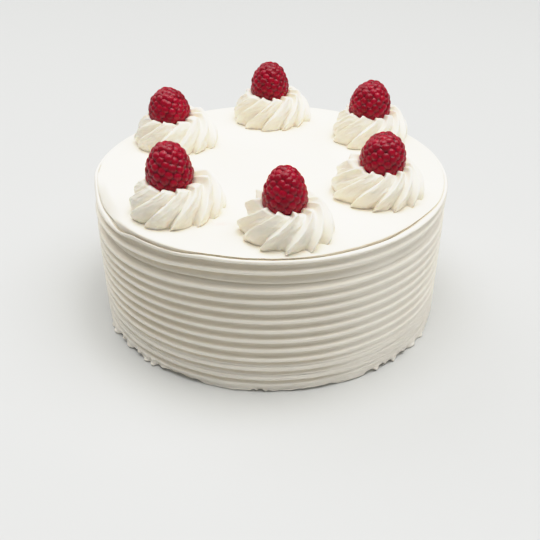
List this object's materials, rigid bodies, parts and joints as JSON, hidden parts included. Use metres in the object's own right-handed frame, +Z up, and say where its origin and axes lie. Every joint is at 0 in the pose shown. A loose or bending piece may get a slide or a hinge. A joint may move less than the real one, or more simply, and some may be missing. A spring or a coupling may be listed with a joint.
{
  "type": "raspberry meringue cake",
  "caption": "Round white iced cake with a combed side, topped with a ring of piped cream rosettes that each hold a raspberry.",
  "frame": {"origin": "centre of the cake's flat underside", "axes": "+Z up along the cake's axis, -Y towards the front of the cake, +X to the right seen from the front"},
  "size_m": [0.18, 0.18, 0.1078],
  "materials": {
    "icing": "smooth whipped icing with a soft sheen",
    "piped_cream": "piped cream, soft sheen",
    "raspberry_skin": "fresh berry skin with a faint bloom"
  },
  "bodies": {
    "root": {"cake_body": "icing", "rosette_1": "piped_cream", "rosette_2": "piped_cream", "rosette_3": "piped_cream", "rosette_4": "piped_cream", "rosette_5": "piped_cream", "rosette_6": "piped_cream", "raspberry_1": "raspberry_skin", "raspberry_2": "raspberry_skin", "raspberry_3": "raspberry_skin", "raspberry_4": "raspberry_skin", "raspberry_5": "raspberry_skin", "raspberry_6": "raspberry_skin"}
  },
  "joints": []
}
